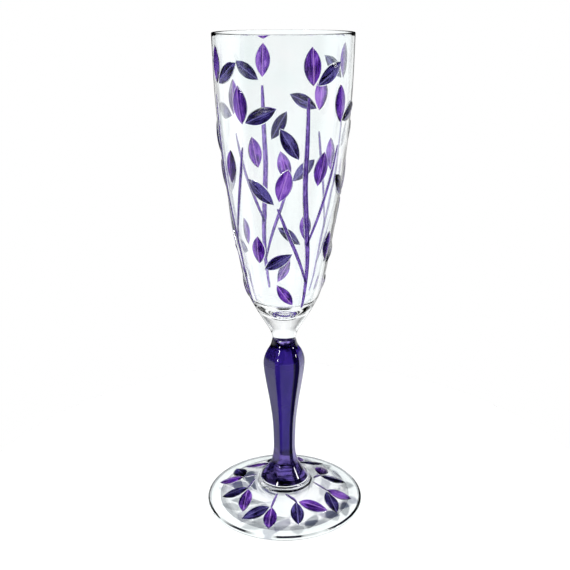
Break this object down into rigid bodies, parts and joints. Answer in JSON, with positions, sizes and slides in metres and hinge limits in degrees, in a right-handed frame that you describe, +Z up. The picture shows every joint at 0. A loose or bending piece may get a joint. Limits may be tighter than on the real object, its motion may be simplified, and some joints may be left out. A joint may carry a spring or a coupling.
{
  "type": "champagne flute",
  "caption": "Tall tapered glass for sparkling wine, with a leaf-painted relief bowl, a violet faceted stem and a leafy round foot.",
  "frame": {"origin": "centre of the flat ring that the foot stands on", "axes": "+Z up along the flute's axis, -Y towards the front of the leaf pattern"},
  "size_m": [0.0752, 0.0752, 0.22],
  "materials": {
    "clear_glass": "clear pressed crystal, polished",
    "violet_enamel": "bright violet transparent hand-painted enamel, glossy with fine brush marks",
    "indigo_enamel": "dark indigo transparent hand-painted enamel, glossy with fine brush marks",
    "stalk_enamel": "mid violet transparent hand-painted enamel, glossy",
    "sprig_enamel": "violet and indigo transparent enamel, glossy",
    "stem_lacquer": "dark indigo-violet transparent lacquer, high gloss"
  },
  "bodies": {
    "root": {"bottom_leaf_1": "violet_enamel", "bottom_leaf_2": "violet_enamel", "bottom_leaf_3": "violet_enamel", "bottom_leaf_4": "violet_enamel", "bowl": "clear_glass", "folded_leaf_1": "indigo_enamel", "folded_leaf_2": "indigo_enamel", "folded_leaf_3": "indigo_enamel", "folded_leaf_4": "indigo_enamel", "foot": "clear_glass", "foot_sprig_1": "sprig_enamel", "foot_sprig_2": "sprig_enamel", "foot_sprig_3": "sprig_enamel", "foot_sprig_4": "sprig_enamel", "foot_sprig_5": "sprig_enamel", "foot_sprig_6": "sprig_enamel", "foot_sprig_7": "sprig_enamel", "foot_sprig_8": "sprig_enamel", "leaning_leaf_1": "indigo_enamel", "leaning_leaf_2": "indigo_enamel", "leaning_leaf_3": "indigo_enamel", "leaning_leaf_4": "indigo_enamel", "level_leaf_1": "indigo_enamel", "level_leaf_2": "indigo_enamel", "level_leaf_3": "indigo_enamel", "level_leaf_4": "indigo_enamel", "lower_leaf_1": "violet_enamel", "lower_leaf_2": "violet_enamel", "lower_leaf_3": "violet_enamel", "lower_leaf_4": "violet_enamel", "middle_leaf_1": "violet_enamel", "middle_leaf_2": "violet_enamel", "middle_leaf_3": "violet_enamel", "middle_leaf_4": "violet_enamel", "outer_leaf_1": "violet_enamel", "outer_leaf_2": "violet_enamel", "outer_leaf_3": "violet_enamel", "outer_leaf_4": "violet_enamel", "slanting_leaf_1": "indigo_enamel", "slanting_leaf_2": "indigo_enamel", "slanting_leaf_3": "indigo_enamel", "slanting_leaf_4": "indigo_enamel", "spreading_leaf_1": "indigo_enamel", "spreading_leaf_2": "indigo_enamel", "spreading_leaf_3": "indigo_enamel", "spreading_leaf_4": "indigo_enamel", "stalk_1": "stalk_enamel", "stalk_2": "stalk_enamel", "stalk_3": "stalk_enamel", "stalk_4": "stalk_enamel", "stem": "clear_glass", "stem_lacquer": "stem_lacquer", "tip_leaf_1": "violet_enamel", "tip_leaf_2": "violet_enamel", "tip_leaf_3": "violet_enamel", "tip_leaf_4": "violet_enamel", "upright_leaf_1": "violet_enamel", "upright_leaf_2": "violet_enamel", "upright_leaf_3": "violet_enamel", "upright_leaf_4": "violet_enamel"}
  },
  "joints": []
}
